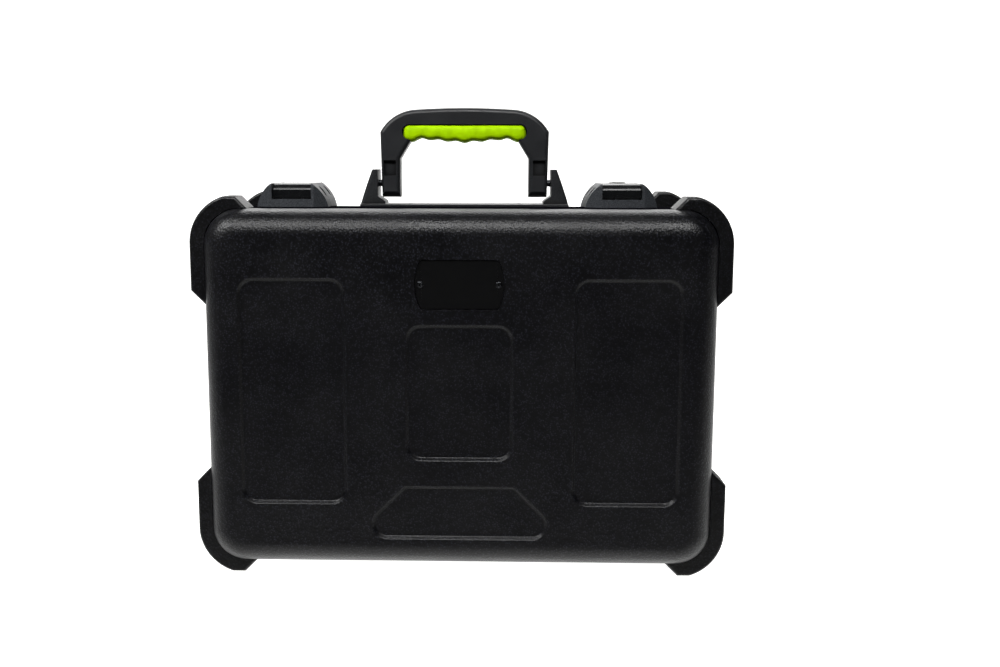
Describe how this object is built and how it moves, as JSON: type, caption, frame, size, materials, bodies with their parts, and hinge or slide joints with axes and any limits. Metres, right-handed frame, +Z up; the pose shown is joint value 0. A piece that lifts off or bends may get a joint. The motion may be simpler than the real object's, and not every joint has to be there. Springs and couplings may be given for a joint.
{
  "type": "microphone case",
  "caption": "Hard moulded carrying case with hinged lid, lever latches, folding grip handle, corner bumpers and foam bored to hold handheld microphones.",
  "frame": {"origin": "centre of the footprint on the floor, below the middle of the case as it stands on its feet", "axes": "+Z up, X across the width of the case, the lid faces -Y and the base half is towards +Y"},
  "size_m": [0.4594, 0.212, 0.4095],
  "materials": {
    "shell": "pebble-grained moulded polyethylene, satin",
    "bumper": "grained moulded polyethylene, satin",
    "housing": "fine-textured glass-filled nylon",
    "lever": "smooth semi-gloss nylon",
    "hook": "smooth moulded nylon",
    "steel": "zinc-plated steel",
    "hinge": "black powder-coated steel",
    "valance": "black-anodised aluminium extrusion",
    "badge": "satin plate, left plain",
    "foam": "open-cell polyurethane foam, charcoal",
    "handle": "satin nylon",
    "grip": "soft lime-green elastomer"
  },
  "bodies": {
    "base": {"base_shell": "shell", "base_valance": "valance", "base_foam": "foam", "handle_bracket": "handle", "handle_pin_left": "steel", "hinge_base_left": "hinge", "hinge_pin_left": "steel", "latch_base_left": "housing", "latch_base_screws_left": "steel", "base_bumper_top_left": "bumper", "base_bumper_foot_left": "bumper", "handle_pin_right": "steel", "hinge_base_right": "hinge", "hinge_pin_right": "steel", "latch_base_right": "housing", "latch_base_screws_right": "steel", "base_bumper_top_right": "bumper", "base_bumper_foot_right": "bumper"},
    "lid": {"lid_shell": "shell", "lid_valance": "valance", "badge_plate": "badge", "badge_screws": "steel", "lid_foam": "foam", "hinge_lid_left": "hinge", "latch_lid_left": "housing", "latch_lid_screws_left": "steel", "lever_pin_left": "steel", "lid_bumper_top_left": "bumper", "lid_bumper_foot_left": "bumper", "hinge_lid_right": "hinge", "latch_lid_right": "housing", "latch_lid_screws_right": "steel", "lever_pin_right": "steel", "lid_bumper_top_right": "bumper", "lid_bumper_foot_right": "bumper"},
    "handle": {"handle_frame": "handle", "handle_grip": "grip"},
    "lever_left": {"lever_left": "lever", "hook_pin_left": "steel"},
    "hook_left": {"hook_left": "hook"},
    "lever_right": {"lever_right": "lever", "hook_pin_right": "steel"},
    "hook_right": {"hook_right": "hook"},
    "lock": {"lock_cylinder": "steel"}
  },
  "joints": [
    {"name": "lid_hinge", "type": "hinge", "parent": "base", "child": "lid", "pos_m": [0, -0.036, 0.0068], "axis": [1, 0, 0], "range_deg": [0, 105]},
    {"name": "handle_fold", "type": "hinge", "parent": "base", "child": "handle", "pos_m": [0, 0.032, 0.339], "axis": [1, 0, 0], "range_deg": [-90, 90]},
    {"name": "lever_left_lift", "type": "hinge", "parent": "lid", "child": "lever_left", "pos_m": [-0.1479, -0.0465, 0.3318], "axis": [1, 0, 0], "range_deg": [0, 105]},
    {"name": "hook_left_swing", "type": "hinge", "parent": "lever_left", "child": "hook_left", "pos_m": [-0.1479, -0.0265, 0.3318], "axis": [1, 0, 0], "range_deg": [-105, 0]},
    {"name": "lever_right_lift", "type": "hinge", "parent": "lid", "child": "lever_right", "pos_m": [0.1389, -0.0465, 0.3318], "axis": [1, 0, 0], "range_deg": [0, 105]},
    {"name": "hook_right_swing", "type": "hinge", "parent": "lever_right", "child": "hook_right", "pos_m": [0.1389, -0.0265, 0.3318], "axis": [1, 0, 0], "range_deg": [-105, 0]},
    {"name": "lock_turn", "type": "hinge", "parent": "lever_right", "child": "lock", "pos_m": [0.1389, -0.019, 0.3403], "axis": [0, 0, 1], "range_deg": [0, 90]}
  ],
  "couplings": [
    {"joint": "hook_left_swing", "follows": "lever_left_lift", "ratio": -1},
    {"joint": "hook_right_swing", "follows": "lever_right_lift", "ratio": -1}
  ]
}
